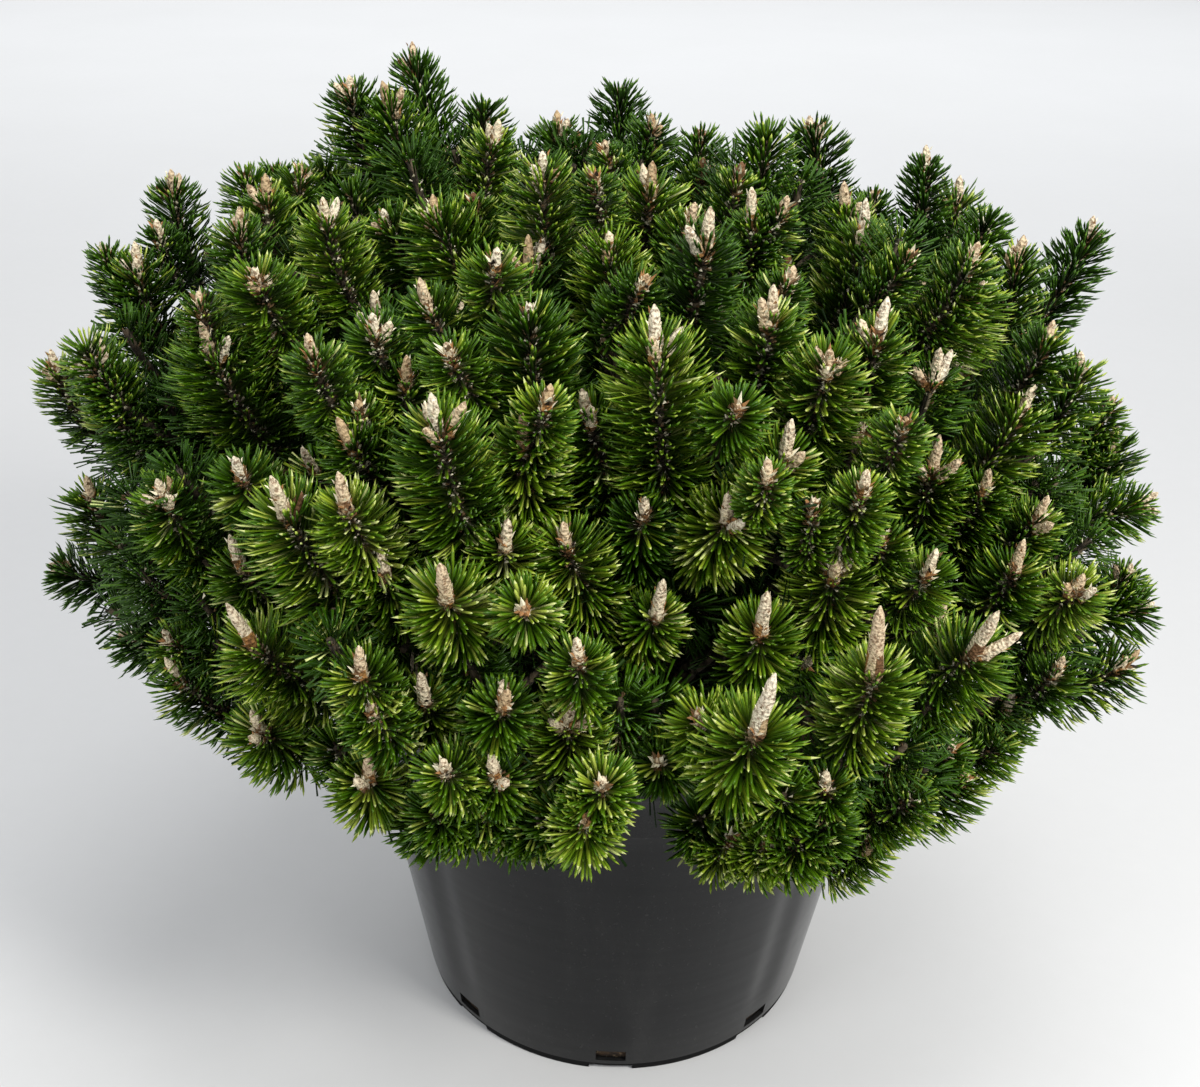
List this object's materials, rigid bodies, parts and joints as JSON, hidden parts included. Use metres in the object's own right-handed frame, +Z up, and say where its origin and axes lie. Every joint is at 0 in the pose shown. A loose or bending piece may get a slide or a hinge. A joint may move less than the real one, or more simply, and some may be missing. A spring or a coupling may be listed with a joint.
{
  "type": "potted mugo pine",
  "caption": "Low, dense, dome-shaped mugo pine with upright needle-clad shoots and pale buds, growing in a round black plastic nursery pot.",
  "frame": {"origin": "centre of the pot's flat underside", "axes": "+Z up along the pot's axis and the stem, front towards -Y, +X to the right as seen from the front"},
  "size_m": [0.6572, 0.6323, 0.632],
  "materials": {
    "pot_plastic": "satin",
    "compost": "matte",
    "bark": "matte",
    "foliage": "matte"
  },
  "bodies": {
    "root": {"pot": "pot_plastic", "root_ball": "compost", "stem": "bark", "bough_skirt_01": "bark", "mass_skirt_01": "foliage", "bough_skirt_02": "bark", "mass_skirt_02": "foliage", "bough_skirt_03": "bark", "mass_skirt_03": "foliage", "bough_skirt_04": "bark", "mass_skirt_04": "foliage", "bough_skirt_05": "bark", "mass_skirt_05": "foliage", "bough_skirt_06": "bark", "mass_skirt_06": "foliage", "bough_skirt_07": "bark", "mass_skirt_07": "foliage", "bough_skirt_08": "bark", "mass_skirt_08": "foliage", "bough_skirt_09": "bark", "mass_skirt_09": "foliage", "bough_skirt_10": "bark", "mass_skirt_10": "foliage", "bough_shoulder_01": "bark", "mass_shoulder_01": "foliage", "bough_shoulder_02": "bark", "mass_shoulder_02": "foliage", "bough_shoulder_03": "bark", "mass_shoulder_03": "foliage", "bough_shoulder_04": "bark", "mass_shoulder_04": "foliage", "bough_shoulder_05": "bark", "mass_shoulder_05": "foliage", "bough_shoulder_06": "bark", "mass_shoulder_06": "foliage", "bough_shoulder_07": "bark", "mass_shoulder_07": "foliage", "bough_shoulder_08": "bark", "mass_shoulder_08": "foliage", "bough_crest_01": "bark", "mass_crest_01": "foliage", "bough_crest_02": "bark", "mass_crest_02": "foliage", "bough_crest_03": "bark", "mass_crest_03": "foliage", "bough_crest_04": "bark", "mass_crest_04": "foliage", "bough_crest_05": "bark", "mass_crest_05": "foliage", "bough_top": "bark", "mass_top": "foliage"}
  },
  "joints": []
}
